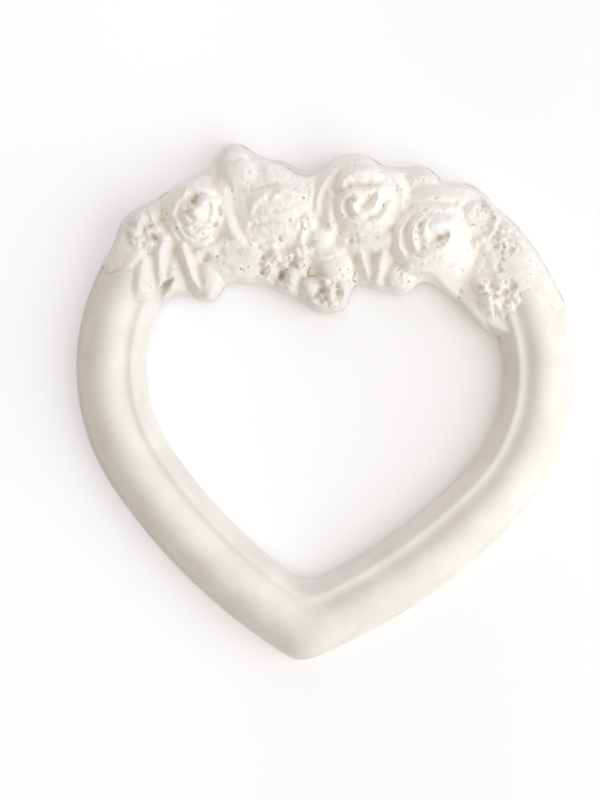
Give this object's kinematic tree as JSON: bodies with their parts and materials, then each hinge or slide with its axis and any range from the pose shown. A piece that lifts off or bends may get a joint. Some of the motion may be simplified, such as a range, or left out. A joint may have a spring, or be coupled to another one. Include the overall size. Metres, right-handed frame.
{
  "type": "heart shaped photo frame",
  "caption": "Heart shaped plaster picture frame with a half-round moulding, a beaded opening and a garland of roses, blossoms and leaves across its top.",
  "frame": {"origin": "middle of the frame's outline on its flat back, which lies on the surface", "axes": "+X to the right as the frame is looked at, +Y from the heart's tip to the garland, +Z out of the frame's front"},
  "size_m": [0.1312, 0.1339, 0.0215],
  "materials": {
    "plaster": "matte unglazed white plaster with fine air pits"
  },
  "bodies": {
    "root": {"heart_frame": "plaster", "rose_1": "plaster", "rose_2": "plaster", "rose_3": "plaster", "rose_4": "plaster", "blossom_1": "plaster", "blossom_2": "plaster", "blossom_3": "plaster", "blossom_4": "plaster", "blossom_5": "plaster", "blossom_6": "plaster", "blossom_7": "plaster", "blossom_8": "plaster", "bud": "plaster", "leaf_1": "plaster", "leaf_2": "plaster", "leaf_3": "plaster", "leaf_4": "plaster", "leaf_5": "plaster", "leaf_6": "plaster", "leaf_7": "plaster", "leaf_8": "plaster", "leaf_9": "plaster", "leaf_10": "plaster", "leaf_11": "plaster", "leaf_12": "plaster", "leaf_13": "plaster", "leaf_14": "plaster", "leaf_15": "plaster", "leaf_16": "plaster", "petal_1": "plaster", "petal_2": "plaster", "petal_3": "plaster", "petal_4": "plaster", "petal_5": "plaster", "petal_6": "plaster", "petal_7": "plaster"}
  },
  "joints": []
}
